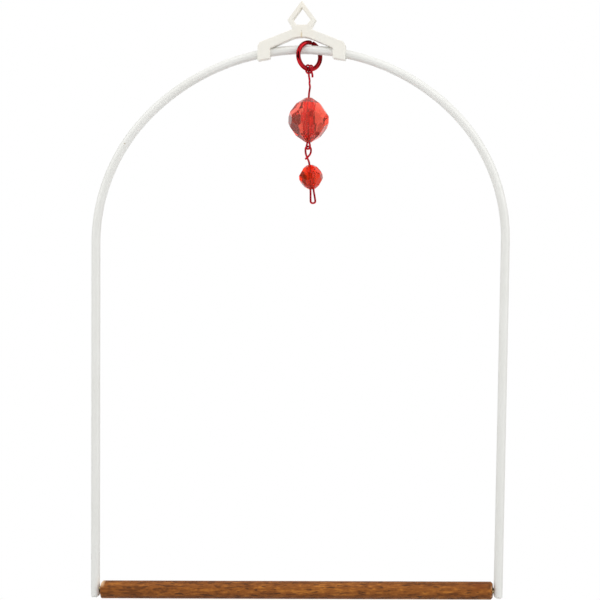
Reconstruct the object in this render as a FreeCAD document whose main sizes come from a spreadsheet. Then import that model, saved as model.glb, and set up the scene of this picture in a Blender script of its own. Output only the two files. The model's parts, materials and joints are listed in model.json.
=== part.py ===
# A hanging cage swing for a pet bird: a coated rod bent to an arch, a moulded hanger clipped on its
# crown, a perch that rolls on two pins between the legs, and a toy of ring, wires and faceted beads.
# Millimetres and degrees, +Z up, front towards -Y. The origin is where a hook bears in the eye.
import FreeCAD, Part
import math
import os

import Sketcher
from FreeCAD import Placement, Rotation, Vector

os.makedirs("parts", exist_ok=True)
doc = FreeCAD.newDocument("cage_swing")


def make_sheet(name, cells):
    """A spreadsheet with one aliased cell for each entry."""
    sheet = doc.addObject("Spreadsheet::Sheet", name)
    for row, (alias, content) in enumerate(cells.items(), start=1):
        sheet.set(f"A{row}", alias)
        sheet.set(f"B{row}", content)
        sheet.setAlias(f"B{row}", alias)
    doc.recompute()
    return sheet


sizes = make_sheet("Sizes", {
    # Arch: a wide crown arc, tighter shoulder arcs and legs that lean in a little
    "rod_dia": "5.0",
    "crown_radius": "120.0",
    "crown_half_angle": "45.5",
    "shoulder_radius": "101.7",
    "leg_lean": "0.78",
    "leg_length": "198.2",
    "rod_end_round": "1.6",
    # Hanger: eye, neck, two arms and two feet
    "hang_drop": "23.3",
    "eye_tip": "4.1",
    "eye_half_width": "4.9",
    "eye_side_wall": "3.15",
    "eye_shoulder_drop": "6.8",
    "eye_floor_drop": "9.55",
    "eye_floor_half": "3.0",
    "neck_half": "5.1",
    "neck_drop": "12.0",
    "arm_end_rise": "4.1",
    "ring_headroom": "3.19",
    "arm_slope": "23.6",
    "arm_peak_round": "16.0",
    "foot_inner": "17.6",
    "foot_width": "7.1",
    "foot_corner": "1.2",
    "foot_top_rise": "2.0",
    "foot_floor": "1.5",
    "plate_front": "4.0",
    "plate_back": "1.6",
    "groove_clearance": "0.05",
    "crease_drop": "12.9",
    "crease_length": "6.0",
    "crease_half_width": "0.5",
    "crease_depth": "0.3",
    "hanger_corner_round": "0.6",
    "hanger_edge_round": "0.45",
    # Perch and its pins
    "perch_dia": "10.0",
    "perch_lift": "4.5",
    "perch_end_gap": "0.6",
    "perch_chamfer": "0.9",
    "pin_dia": "3.2",
    "pin_seat": "1.5",
    "pin_reach": "10.0",
    "pin_chamfer": "0.4",
    "pin_seat_clearance": "0.02",
    "bore_clearance": "0.06",
    "bore_spare": "2.0",
    # Ring on the crown
    "ring_dia": "15.1",
    "ring_wire": "2.5",
    "ring_gap": "1.1",
    "ring_gap_turn": "12.0",
    "ring_x": "4.1",
    "ring_bear_angle": "55.0",
    "ring_clearance": "0.3",
    # Thin wires
    "wire_dia": "1.1",
    "wrap_clearance": "0.42",
    "wrap_gap": "1.1",
    "tail_gap": "0.35",
    "tail_rise": "1.15",
    "tail_length": "1.7",
    "strand_gap": "0.55",
    "strand_tuck": "4.5",
    "upper_shaft": "16.1",
    "link_eye_half": "1.65",
    "link_eye_shoulder": "1.7",
    "link_eye_depth": "3.8",
    "link_gap": "0.25",
    "lower_eye_half": "1.9",
    "lower_eye_length": "3.8",
    "lower_neck": "2.65",
    "lower_tail": "1.3",
    "lower_shaft": "8.7",
    "lower_offset": "1.0",
    "lower_lead": "0.75",
    "lower_tilt": "5.4",
    "cross_gap": "0.6",
    "end_loop_half": "1.3",
    "end_loop_shoulder": "5.2",
    "end_loop_depth": "7.5",
    # Beads: room round the two strands in the bore, then for each bead its size across the corners of the
    # girdle, along the bore, of the girdle's height and across the crown's edge
    "strand_clearance": "0.225",
    "row_slope": "34.0",
    "crown_slope": "55.0",
    "large_bead_dia": "22.9",
    "large_bead_length": "25.0",
    "large_bead_girdle": "3.7",
    "large_bead_crown": "13.0",
    "large_bead_turn": "-4.0",
    "small_bead_dia": "13.3",
    "small_bead_length": "14.4",
    "small_bead_girdle": "2.15",
    "small_bead_crown": "7.6",
    "small_bead_turn": "12.5",
})

# Places that follow from the sizes
places = make_sheet("Places", {
    "crown_centre_z": "=-Sizes.hang_drop - Sizes.crown_radius",
    "radius_step": "=Sizes.crown_radius - Sizes.shoulder_radius",
    "shoulder_centre_x": "=radius_step * sin(Sizes.crown_half_angle)",
    "shoulder_centre_z": "=crown_centre_z + radius_step * cos(Sizes.crown_half_angle)",
    "blend_x": "=Sizes.crown_radius * sin(Sizes.crown_half_angle)",
    "spring_x": "=shoulder_centre_x + Sizes.shoulder_radius * cos(Sizes.leg_lean)",
    "spring_z": "=shoulder_centre_z - Sizes.shoulder_radius * sin(Sizes.leg_lean)",
    "leg_end_x": "=spring_x - Sizes.leg_length * sin(Sizes.leg_lean)",
    "leg_end_z": "=spring_z - Sizes.leg_length * cos(Sizes.leg_lean)",
    "perch_z": "=leg_end_z + Sizes.perch_lift",
    "leg_perch_x": "=spring_x - (spring_z - perch_z) * tan(Sizes.leg_lean)",
    "leg_face_x": "=leg_perch_x - Sizes.rod_dia / 2 / cos(Sizes.leg_lean)",
    "perch_half": "=leg_face_x - Sizes.perch_end_gap",
    "pin_floor_x": "=leg_face_x + Sizes.pin_seat",
    "pin_length": "=Sizes.pin_seat + Sizes.perch_end_gap + Sizes.pin_reach",
    "bore_radius": "=Sizes.pin_dia / 2 + Sizes.bore_clearance",
    "bore_end": "=perch_half - Sizes.pin_reach - Sizes.bore_spare",
    "foot_outer": "=Sizes.foot_inner + Sizes.foot_width",
    "foot_skin": "=crown_centre_z - Sizes.rod_dia / 2 - Sizes.foot_floor",
    "foot_outer_z": "=foot_skin + sqrt(Sizes.crown_radius ^ 2 - foot_outer ^ 2)",
    "foot_inner_z": "=foot_skin + sqrt(Sizes.crown_radius ^ 2 - Sizes.foot_inner ^ 2)",
    "arm_peak_rise": "=Sizes.rod_dia / 2 + Sizes.ring_wire + Sizes.ring_headroom",
    "arm_peak_z": "=arm_peak_rise - Sizes.hang_drop",
    "arm_root_z": "=arm_peak_z - Sizes.foot_inner * tan(Sizes.arm_slope)",
    "arm_end_z": "=Sizes.arm_end_rise - Sizes.hang_drop",
    "foot_top_z": "=Sizes.foot_top_rise - Sizes.hang_drop",
    "bead_bore": "=2 * Sizes.wire_dia + Sizes.strand_gap + 2 * Sizes.strand_clearance",
})


def size(alias):
    """A driving size as a number."""
    return float(sizes.get(alias))


def place(alias):
    """A worked-out place as a number."""
    return float(places.get(alias))


def worth(expression):
    """The number that an expression on the sheets comes to."""
    return float(sizes.evalExpression(expression))


def make_body(label):
    body = doc.addObject("PartDesign::Body", label)
    body.Label = label
    return body


def origin_plane(body, role):
    return next(item for item in body.Origin.OriginFeatures if item.Role == role)


def add_sketch(body, role, name):
    sketch = body.newObject("Sketcher::SketchObject", name)
    sketch.AttachmentSupport = [(origin_plane(body, role), "")]
    sketch.MapMode = "FlatFace"
    return sketch


def hold(sketch, expression, kind, *geometry):
    """A dimension of a sketch, bound to an expression."""
    held = sketch.addConstraint(Sketcher.Constraint(kind, *geometry, worth(expression)))
    sketch.setExpression(f"Constraints[{held}]", expression)


def pin_point(sketch, geometry, point, across, along):
    """Hold a sketch point at two expressions, measured from the sketch's origin."""
    hold(sketch, across, "DistanceX", -1, 1, geometry, point)
    hold(sketch, along, "DistanceY", -1, 1, geometry, point)


def add_outline(sketch, corners):
    """A closed outline of straight sides through corners given as pairs of expressions."""
    spots = [Vector(worth(across), worth(along), 0) for across, along in corners]
    first = sketch.GeometryCount
    count = len(spots)
    for step in range(count):
        sketch.addGeometry(Part.LineSegment(spots[step], spots[(step + 1) % count]), False)
    for step in range(count):
        after = first + (step + 1) % count
        sketch.addConstraint(Sketcher.Constraint("Coincident", first + step, 2, after, 1))
        pin_point(sketch, first + step, 1, *corners[step])


def add_circle(sketch, across, along, radius):
    """A circle with its centre and radius given as expressions."""
    centre = Vector(worth(across), worth(along), 0)
    ring = sketch.addGeometry(Part.Circle(centre, Vector(0, 0, 1), worth(radius)), False)
    pin_point(sketch, ring, 3, across, along)
    hold(sketch, radius, "Radius", ring)


def revolve_profile(body, corners):
    """Revolve a half profile on the XZ plane about the X axis."""
    profile = add_sketch(body, "XZ_Plane", "Profile")
    add_outline(profile, corners)
    turned = body.newObject("PartDesign::Revolution", "Turned")
    turned.Profile = profile
    turned.ReferenceAxis = (profile, ["H_Axis"])
    turned.Angle = 360
    doc.recompute()
    return turned


def cut_made(body, volume_before, what):
    doc.recompute()
    if not body.Shape.Volume < volume_before:
        raise RuntimeError(f"{what} cut nothing")


def round_edges(body, base, picked, radius, name):
    """Fillet the edges of a feature that the test picks."""
    names = [f"Edge{number}" for number, edge in enumerate(base.Shape.Edges, start=1) if picked(edge)]
    fillet = body.newObject("PartDesign::Fillet", name)
    fillet.Base = (base, names)
    fillet.setExpression("Radius", radius)
    doc.recompute()
    return fillet


# Arch frame: one rod swept along legs, shoulders and crown, with round ends and pin sockets
def make_arch_frame():
    body = make_body("arch_frame")
    path = add_sketch(body, "XZ_Plane", "Path")
    normal = Vector(0, 0, 1)
    lean = math.radians(size("leg_lean"))
    crown_from = math.radians(90 - size("crown_half_angle"))
    crown_centre = Vector(0, place("crown_centre_z"), 0)
    crown = Part.Circle(crown_centre, normal, size("crown_radius"))
    right_centre = Vector(place("shoulder_centre_x"), place("shoulder_centre_z"), 0)
    left_centre = Vector(-place("shoulder_centre_x"), place("shoulder_centre_z"), 0)
    right = Part.Circle(right_centre, normal, size("shoulder_radius"))
    left = Part.Circle(left_centre, normal, size("shoulder_radius"))
    end_x, end_z = place("leg_end_x"), place("leg_end_z")
    spring_x, spring_z = place("spring_x"), place("spring_z")
    path.addGeometry(Part.LineSegment(Vector(-end_x, end_z, 0), Vector(-spring_x, spring_z, 0)), False)
    path.addGeometry(Part.ArcOfCircle(left, math.pi - crown_from, math.pi + lean), False)
    path.addGeometry(Part.ArcOfCircle(crown, crown_from, math.pi - crown_from), False)
    path.addGeometry(Part.ArcOfCircle(right, -lean, crown_from), False)
    path.addGeometry(Part.LineSegment(Vector(spring_x, spring_z, 0), Vector(end_x, end_z, 0)), False)
    for one, one_end, other, other_end in ((0, 2, 1, 2), (1, 1, 2, 2), (2, 1, 3, 2), (3, 1, 4, 1)):
        path.addConstraint(Sketcher.Constraint("Tangent", one, one_end, other, other_end))
    pin_point(path, 2, 3, "0", "Places.crown_centre_z")
    hold(path, "Sizes.crown_radius", "Radius", 2)
    hold(path, "Places.blend_x", "DistanceX", -1, 1, 2, 1)
    hold(path, "-Places.blend_x", "DistanceX", -1, 1, 2, 2)
    for leg, shoulder, spring in ((0, 1, 2), (4, 3, 1)):
        hold(path, "Sizes.shoulder_radius", "Radius", shoulder)
        hold(path, "Places.spring_z", "DistanceY", -1, 1, shoulder, spring)
        hold(path, "Sizes.leg_length", "Distance", leg)
    doc.recompute()
    section = body.newObject("Sketcher::SketchObject", "Section")
    section.AttachmentSupport = [(path, "Edge1")]
    section.MapMode = "NormalToEdge"
    section.MapPathParameter = 0
    add_circle(section, "0", "0", "Sizes.rod_dia / 2")
    doc.recompute()
    rod = body.newObject("PartDesign::AdditivePipe", "Rod")
    rod.Profile = section
    rod.Spine = (path, [])
    doc.recompute()
    ends = place("leg_end_z") + size("rod_dia")
    rounded = round_edges(
        body, rod, lambda edge: edge.BoundBox.ZMax < ends and edge.isClosed(),
        "Sizes.rod_end_round", "RoundEnds")
    before = rounded.Shape.Volume
    socket = add_sketch(body, "YZ_Plane", "Socket")
    add_circle(socket, "0", "Places.perch_z", "Sizes.pin_dia / 2 + Sizes.pin_seat_clearance")
    sockets = body.newObject("PartDesign::Pocket", "PinSockets")
    sockets.Profile = socket
    sockets.Midplane = True
    sockets.setExpression("Length", "2 * Places.pin_floor_x")
    cut_made(body, before, "pin sockets")
    return body


# Hanger: a plate with an eye, two arms and two feet, each foot grooved to clip on the rod from in front,
# and a shallow crease where the arms meet
def make_hanger():
    body = make_body("hanger")
    outline = add_sketch(body, "XZ_Plane", "Outline")
    right_side = [
        ("Sizes.eye_half_width + Sizes.eye_side_wall", "-Sizes.eye_shoulder_drop"),
        ("Sizes.neck_half", "-Sizes.neck_drop"),
        ("Places.foot_outer - Sizes.foot_corner", "Places.arm_end_z"),
        ("Places.foot_outer", "Places.foot_top_z"),
        ("Places.foot_outer", "Places.foot_outer_z"),
        ("Sizes.foot_inner", "Places.foot_inner_z"),
        ("Sizes.foot_inner", "Places.arm_root_z"),
    ]
    left_side = [(f"-({across})", along) for across, along in reversed(right_side)]
    add_outline(outline, [("0", "Sizes.eye_tip"), *right_side, ("0", "Places.arm_peak_z"), *left_side])
    add_outline(outline, [
        ("0", "0"),
        ("Sizes.eye_half_width", "-Sizes.eye_shoulder_drop"),
        ("Sizes.eye_floor_half", "-Sizes.eye_floor_drop"),
        ("-Sizes.eye_floor_half", "-Sizes.eye_floor_drop"),
        ("-Sizes.eye_half_width", "-Sizes.eye_shoulder_drop"),
    ])
    plate = body.newObject("PartDesign::Pad", "Plate")
    plate.Profile = outline
    plate.SideType = "Two sides"
    plate.setExpression("Length", "Sizes.plate_front")
    plate.setExpression("Length2", "Sizes.plate_back")
    doc.recompute()
    near = 0.01
    through = size("plate_front") + size("plate_back") - near

    def crosses_plate(edge):
        return edge.BoundBox.YLength > through and edge.BoundBox.XLength < near

    def at_peak(edge):
        middle = edge.CenterOfMass
        return crosses_plate(edge) and abs(middle.x) < near and abs(middle.z - place("arm_peak_z")) < near

    arched = round_edges(body, plate, at_peak, "Sizes.arm_peak_round", "ArmPeak")

    def straight_through(edge):
        return crosses_plate(edge) and abs(edge.CenterOfMass.x) > size("eye_floor_half") + near

    eased = round_edges(body, arched, straight_through, "Sizes.hanger_corner_round", "Corners")

    def on_face(edge):
        box = edge.BoundBox
        faces = (-size("plate_front"), size("plate_back"))
        return box.YLength < near and min(abs(box.YMin - face) for face in faces) < near

    softened = round_edges(body, eased, on_face, "Sizes.hanger_edge_round", "Edges")
    before = softened.Shape.Volume
    bore = add_sketch(body, "YZ_Plane", "Groove")
    add_circle(bore, "0", "-Sizes.hang_drop", "Sizes.rod_dia / 2 + Sizes.groove_clearance")
    centre = place("crown_centre_z")
    axis = bore.addGeometry(Part.LineSegment(Vector(-1, centre, 0), Vector(1, centre, 0)), True)
    pin_point(bore, axis, 1, "-1", "Places.crown_centre_z")
    pin_point(bore, axis, 2, "1", "Places.crown_centre_z")
    groove = body.newObject("PartDesign::Groove", "RodGrooves")
    groove.Profile = bore
    groove.ReferenceAxis = (bore, ["Axis0"])
    groove.Midplane = True
    groove.setExpression("Angle", "2 * Sizes.crown_half_angle")
    cut_made(body, before, "rod grooves")
    before = body.Shape.Volume
    notch = add_sketch(body, "XY_Plane", "Notch")
    notch.AttachmentOffset = Placement(Vector(0, 0, -size("crease_drop")), Rotation())
    notch.setExpression("AttachmentOffset.Base.z", "-Sizes.crease_drop")
    add_outline(notch, [
        ("0", "Sizes.crease_depth - Sizes.plate_front"),
        ("-Sizes.crease_half_width", "-Sizes.plate_front"),
        ("Sizes.crease_half_width", "-Sizes.plate_front"),
    ])
    crease = body.newObject("PartDesign::Pocket", "Crease")
    crease.Profile = notch
    crease.setExpression("Length", "Sizes.crease_length")
    cut_made(body, before, "crease")
    return body


# Perch: a chamfered dowel with a blind hole in each end
def make_perch():
    body = make_body("perch")
    right_side = [
        ("Places.bore_end", "0"),
        ("Places.bore_end", "Places.bore_radius"),
        ("Places.perch_half", "Places.bore_radius"),
        ("Places.perch_half", "Sizes.perch_dia / 2 - Sizes.perch_chamfer"),
        ("Places.perch_half - Sizes.perch_chamfer", "Sizes.perch_dia / 2"),
    ]
    left_side = [(f"-({across})", along) for across, along in reversed(right_side)]
    revolve_profile(body, right_side + left_side)
    body.setExpression("Placement.Base.z", "Places.perch_z")
    return body


# Pivot pins: plain stubs seated in the legs, with chamfered tips in the perch
def make_pivot_pin(label, side):
    body = make_body(label)
    revolve_profile(body, [
        ("0", "0"),
        ("Places.pin_length", "0"),
        ("Places.pin_length", "Sizes.pin_dia / 2 - Sizes.pin_chamfer"),
        ("Places.pin_length - Sizes.pin_chamfer", "Sizes.pin_dia / 2"),
        ("0", "Sizes.pin_dia / 2"),
    ])
    facing = 0 if side < 0 else 180
    body.Placement = Placement(Vector(0, 0, 0), Rotation(Vector(0, 0, 1), facing))
    body.setExpression("Placement.Base.x", f"{side} * Places.pin_floor_x")
    body.setExpression("Placement.Base.z", "Places.perch_z")
    return body


# The ring hangs turned on the rod until it bears at a set height on its two sides.
# With s the sine of that height and k the reach over the ring's radius, the squared cosine c of the
# turn solves s^2 c^2 + (1 - s^2) c = k^2.
ring_radius = size("ring_dia") / 2
bear = math.sin(math.radians(size("ring_bear_angle"))) ** 2
reach = (size("rod_dia") + size("ring_wire")) / 2 + size("ring_clearance")
spread = math.sqrt((1 - bear) ** 2 + 4 * bear * (reach / ring_radius) ** 2)
turn_cosine = math.sqrt((spread - (1 - bear)) / (2 * bear))
ring_turn = math.acos(turn_cosine)
ring_sag = math.sqrt(bear) * ring_radius * math.sin(ring_turn) ** 2

up = Vector(0, 0, 1)
ring_normal = Vector(math.cos(ring_turn), -math.sin(ring_turn), 0)
ring_along = up.cross(ring_normal)
rod_slope = math.asin(size("ring_x") / size("crown_radius"))
rod_at_ring = Vector(size("ring_x"), 0, place("crown_centre_z") + size("crown_radius") * math.cos(rod_slope))
ring_centre = rod_at_ring - up * ring_sag
ring_foot = ring_centre - up * ring_radius


# Ring: round wire turned through most of a circle, with its gap near the top
def make_ring():
    body = make_body("ring")
    section = add_sketch(body, "XZ_Plane", "Section")
    add_circle(section, "Sizes.ring_dia / 2", "0", "Sizes.ring_wire / 2")
    hoop = body.newObject("PartDesign::Revolution", "Hoop")
    hoop.Profile = section
    hoop.ReferenceAxis = (section, ["V_Axis"])
    hoop.Midplane = True
    hoop.setExpression("Angle", "360 - 360 * Sizes.ring_gap / (pi * Sizes.ring_dia)")
    doc.recompute()
    gap_turn = math.radians(size("ring_gap_turn"))
    to_gap = up * math.cos(gap_turn) + ring_along * math.sin(gap_turn)
    across = to_gap * -1
    body.Placement = Placement(
        ring_centre, Rotation(across, ring_normal.cross(across), ring_normal, "ZXY"))
    return body


# Thin wires: straight runs joined by tangent arcs
def bend_route(points):
    """A route through control points, each corner rounded as widely as its two runs allow."""
    runs = [after - before for before, after in zip(points, points[1:])]
    slack = 0.98
    half_tans = [0.0]
    for before, after in zip(runs, runs[1:]):
        half_tans.append(math.tan(before.getAngle(after) / 2))
    half_tans.append(0.0)
    edges = []
    radii = []
    start = points[0]
    for corner in range(1, len(points) - 1):
        into, out_of = runs[corner - 1], runs[corner]
        bend = half_tans[corner]
        radius = slack * min(
            into.Length / (bend + half_tans[corner - 1]), out_of.Length / (bend + half_tans[corner + 1]))
        trim = radius * bend
        arrive = points[corner] - into * (trim / into.Length)
        leave = points[corner] + out_of * (trim / out_of.Length)
        inward = (arrive + leave) * 0.5 - points[corner]
        depth = radius / math.cos(math.atan(bend)) - radius
        middle = points[corner] + inward.normalize() * depth
        edges.append(Part.LineSegment(start, arrive).toShape())
        edges.append(Part.Arc(arrive, middle, leave).toShape())
        radii.append(radius)
        start = leave
    edges.append(Part.LineSegment(start, points[-1]).toShape())
    return Part.Wire(edges), min(radii)


def least_self_gap(route):
    """The least gap of the swept wire to itself, between points a few diameters apart along it."""
    diameter = size("wire_dia")
    step = diameter / 8
    apart = int(3 * diameter / step)
    spots = route.discretize(Distance=step)
    distances = (
        (one - other).Length
        for number, one in enumerate(spots) for other in spots[number + apart:])
    return min(distances) - diameter


def make_wire(label, points):
    route, least_radius = bend_route(points)
    line = doc.addObject("Part::Feature", f"{label}_route")
    line.Shape = route
    section = doc.addObject("Part::Circle", f"{label}_section")
    section.setExpression("Radius", "Sizes.wire_dia / 2")
    section.Placement = Placement(points[0], Rotation(up, points[1] - points[0]))
    wire = doc.addObject("Part::Sweep", label)
    wire.Label = label
    wire.Sections = [section]
    wire.Spine = (line, [])
    wire.Solid = True
    wire.Frenet = False
    doc.recompute()
    ideal = math.pi / 4 * size("wire_dia") ** 2 * route.Length
    print(f"{label}: length {route.Length:.2f}, least radius {least_radius:.2f}, "
          f"least self gap {least_self_gap(route):.2f}, volume {wire.Shape.Volume / ideal:.4f} of its section "
          "times its length")
    return wire


def eye_below_bead(at, bead_end, half, shoulder, depth):
    """A loop under a bead: down one side, round the bottom, up the other side and back into the bore.

    The function at takes a distance across and a distance down; bead_end is the bead's lower end.
    """
    offset = (size("wire_dia") + size("strand_gap")) / 2
    mouth = bead_end + size("wire_dia") / 3
    return [
        at(-offset, bead_end - size("strand_tuck")),
        at(-offset, mouth),
        at(-half, bead_end + shoulder),
        at(-half, bead_end + depth),
        at(half, bead_end + depth),
        at(half, bead_end + shoulder),
        at(offset, mouth),
        at(offset, bead_end - size("strand_tuck")),
    ]


# Upper wire: a tail, one and a half turns on the ring, a hand-bent shaft, the bead and an eye
large_end = size("upper_shaft") + size("large_bead_length")
large_centre = ring_foot - up * (size("upper_shaft") + size("large_bead_length") / 2)
link_foot = ring_foot - up * (large_end + size("link_eye_depth"))


def make_upper_wire():
    def at(normal, along, down):
        return ring_foot + ring_normal * normal + ring_along * along - up * down

    wrap = (size("ring_wire") + size("wire_dia")) / 2 + size("wrap_clearance")
    quarter = (size("wire_dia") + size("wrap_gap")) / 4
    corners = [(1, -1), (-1, -1), (-1, 1), (1, 1), (1, -1), (-1, -1)]
    middle = (len(corners) - 1) / 2
    out = wrap + size("wire_dia") + size("tail_gap")
    rise = wrap + size("tail_rise")
    tail = [at(out, -quarter / 2, rise + size("tail_length")), at(out, -quarter / 2, rise)]
    turns = [
        at(normal * wrap, (step - middle) * quarter, down * wrap)
        for step, (normal, down) in enumerate(corners)]
    # Bends of the shaft: along the ring's normal, along the ring, and down as a share of the shaft
    bends = [
        (-wrap + 0.3, 1.15, 0.18), (-0.6, 1.0, 0.40), (0.0, 0.25, 0.49), (0.5, 0.5, 0.61),
        (0.2, 0.2, 0.76), (0.0, 0.0, 0.90)]
    shaft = [at(normal, along, down * size("upper_shaft")) for normal, along, down in bends]
    eye = eye_below_bead(
        lambda across, down: at(across, 0, down), large_end, size("link_eye_half"),
        size("link_eye_shoulder"), size("link_eye_depth"))
    return make_wire("upper_wire", tail + turns + shaft + eye)


# Lower wire: a linked eye whose tail crosses behind, a shaft, the bead and an end loop
tilt = math.radians(size("lower_tilt"))
lower_down = Vector(math.sin(tilt), 0, -math.cos(tilt))
lower_across = Vector(math.cos(tilt), 0, math.sin(tilt))
small_top = link_foot + Vector(size("lower_offset"), 0, -size("lower_shaft"))
small_centre = small_top + lower_down * (size("small_bead_length") / 2)


def make_lower_wire():
    rise = size("wire_dia") + size("link_gap")
    side = ring_along * size("lower_eye_half")
    drop = size("lower_eye_length") - rise
    # The strands that cross at the neck share their distance, most of it behind
    apart = size("wire_dia") + size("cross_gap")
    front = -0.2 * apart
    back = front + apart

    def at(x, y, down):
        return link_foot + Vector(x, y, -down)

    neck_down = drop + size("lower_neck")
    half_wire = size("wire_dia") / 2
    neck = at(-half_wire, front, neck_down)
    tail = [
        at(-half_wire - size("lower_tail"), back, neck_down + half_wire),
        at(-half_wire, back, neck_down - half_wire),
    ]
    eye = [
        link_foot + side - up * drop,
        link_foot + side + up * rise,
        link_foot - side + up * rise,
        link_foot - side - up * drop,
    ]
    lead = small_top - lower_down * size("lower_lead")
    loop = eye_below_bead(
        lambda across, down: small_top + lower_across * across + lower_down * down,
        size("small_bead_length"), size("end_loop_half"), size("end_loop_shoulder"),
        size("end_loop_depth"))
    return make_wire("lower_wire", tail + eye + [neck, lead] + loop)


# Beads: an octagonal girdle, a row of eight facets above and below it, steeper crowns and a bore
facets = 8


def cut_facets(body, name, bead, edge_radius, edge_height, slope):
    """Cut a plane through a point of the XZ plane at a slope, above and below, all round the bead."""
    margin = 1.0
    outer = f"Sizes.{bead}_dia / 2 + {margin}"
    top = f"Sizes.{bead}_length / 2 + {margin}"
    low = f"({edge_height}) - ({outer} - ({edge_radius})) / tan({slope})"
    inner = f"({edge_radius}) - ({top} - ({edge_height})) * tan({slope})"
    before = body.Shape.Volume
    wedges = add_sketch(body, "XZ_Plane", f"{name}Wedges")
    add_outline(wedges, [(outer, low), (outer, top), (inner, top)])
    add_outline(wedges, [(outer, f"-({low})"), (outer, f"-({top})"), (inner, f"-({top})")])
    pocket = body.newObject("PartDesign::Pocket", f"{name}Facets")
    pocket.Profile = wedges
    pocket.Midplane = True
    pocket.setExpression("Length", f"2 * Sizes.{bead}_dia")
    doc.recompute()
    pattern = body.newObject("PartDesign::PolarPattern", f"{name}Row")
    pattern.Originals = [pocket]
    pattern.Axis = (wedges, ["V_Axis"])
    pattern.Angle = 360
    pattern.Occurrences = facets
    body.Tip = pattern
    cut_made(body, before, f"{bead} {name} facets")


def make_bead(bead, centre, spin_axis):
    body = make_body(bead)
    girdle = add_sketch(body, "XY_Plane", "Girdle")
    steps = [360 / facets * step for step in range(facets)]
    radius = f"Sizes.{bead}_dia / 2"
    add_outline(girdle, [(f"{radius} * cos({step})", f"{radius} * sin({step})") for step in steps])
    blank = body.newObject("PartDesign::Pad", "Blank")
    blank.Profile = girdle
    blank.Midplane = True
    blank.setExpression("Length", f"Sizes.{bead}_length")
    doc.recompute()
    belt = f"Sizes.{bead}_girdle / 2"
    crown = f"Sizes.{bead}_crown / 2"
    crown_height = f"{belt} + ({radius} - {crown}) / tan(Sizes.row_slope)"
    cut_facets(body, "Row", bead, radius, belt, "Sizes.row_slope")
    cut_facets(body, "Crown", bead, crown, crown_height, "Sizes.crown_slope")
    before = body.Shape.Volume
    hole = add_sketch(body, "XY_Plane", "Hole")
    add_circle(hole, "0", "0", "Places.bead_bore / 2")
    bore = body.newObject("PartDesign::Pocket", "Bore")
    bore.Profile = hole
    bore.Midplane = True
    bore.setExpression("Length", f"2 * Sizes.{bead}_length")
    cut_made(body, before, f"{bead} bore")
    spun = Rotation(up, size(f"{bead}_turn"))
    body.Placement = Placement(centre, Rotation(up, spin_axis).multiply(spun))
    return body


parts = [
    make_arch_frame(),
    make_hanger(),
    make_perch(),
    make_pivot_pin("left_pivot_pin", -1),
    make_pivot_pin("right_pivot_pin", 1),
    make_ring(),
    make_upper_wire(),
    make_bead("large_bead", large_centre, up),
    make_lower_wire(),
    make_bead("small_bead", small_centre, lower_down * -1),
]
doc.recompute()

failed = [item.Label for item in doc.Objects if {"Invalid", "Error"} & set(item.State)]
failed += [item.Label for item in parts if item.Shape.isNull() or not item.Shape.isValid()]
if failed:
    raise RuntimeError(f"not built: {failed}")
for item in parts:
    item.Shape.exportStep(f"parts/{item.Label}.step")

# Axes and points that the moving pieces turn on
for title, point, axis in (
        ("perch pins", Vector(0, 0, place("perch_z")), Vector(1, 0, 0)),
        ("ring on rod", rod_at_ring, Vector(math.cos(rod_slope), 0, -math.sin(rod_slope))),
        ("upper wire on ring", ring_foot, ring_along),
        ("large bead", large_centre, up),
        ("lower wire in eye", link_foot, ring_normal),
        ("small bead", small_centre, lower_down * -1)):
    print(title, [round(value, 3) for value in point], [round(value, 5) for value in axis])
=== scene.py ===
# Looks of a hanging cage swing: coated rod arch, moulded hanger, rolling wooden perch and a red bead toy.
# Metres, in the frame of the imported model: +Z up, front towards -Y, origin where a hook bears in the eye.
import json
import math

import bpy
import numpy as np
from mathutils import Matrix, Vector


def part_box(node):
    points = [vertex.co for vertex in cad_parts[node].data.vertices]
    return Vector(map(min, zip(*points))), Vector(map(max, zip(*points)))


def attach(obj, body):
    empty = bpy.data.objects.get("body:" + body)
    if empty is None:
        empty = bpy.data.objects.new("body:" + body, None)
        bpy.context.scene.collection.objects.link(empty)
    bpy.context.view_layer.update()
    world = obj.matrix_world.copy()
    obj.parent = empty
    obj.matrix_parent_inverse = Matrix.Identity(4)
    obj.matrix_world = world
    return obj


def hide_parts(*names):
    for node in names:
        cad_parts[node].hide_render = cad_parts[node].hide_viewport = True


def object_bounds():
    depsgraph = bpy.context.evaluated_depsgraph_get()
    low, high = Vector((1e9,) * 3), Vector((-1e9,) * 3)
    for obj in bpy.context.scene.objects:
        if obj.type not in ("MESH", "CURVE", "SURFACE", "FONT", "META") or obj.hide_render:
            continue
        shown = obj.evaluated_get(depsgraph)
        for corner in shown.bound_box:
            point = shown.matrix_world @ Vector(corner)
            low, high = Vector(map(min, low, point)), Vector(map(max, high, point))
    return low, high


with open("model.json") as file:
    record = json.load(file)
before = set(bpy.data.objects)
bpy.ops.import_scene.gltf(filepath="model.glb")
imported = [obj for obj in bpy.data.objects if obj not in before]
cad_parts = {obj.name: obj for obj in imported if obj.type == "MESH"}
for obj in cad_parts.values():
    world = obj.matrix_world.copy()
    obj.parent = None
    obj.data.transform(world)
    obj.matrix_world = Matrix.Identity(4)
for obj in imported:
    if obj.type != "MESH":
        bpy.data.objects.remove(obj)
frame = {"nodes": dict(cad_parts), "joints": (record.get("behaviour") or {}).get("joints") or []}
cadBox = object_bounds()
print("frame loaded:", len(frame["nodes"]), "nodes")

scene = bpy.context.scene
scene.view_settings.view_transform = "Standard"
joints = {joint["name"]: joint for joint in frame["joints"]}
mm = 0.001
up = np.array([0.0, 0.0, 1.0])
toBack = np.array([0.0, 1.0, 0.0])


def jointAt(name):
    # the point and the direction of a joint, as arrays
    return np.array(joints[name]["pos_m"], float), np.array(joints[name]["axis"], float)


def unit(vectors):
    return vectors / np.linalg.norm(vectors, axis=-1, keepdims=True)


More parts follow.
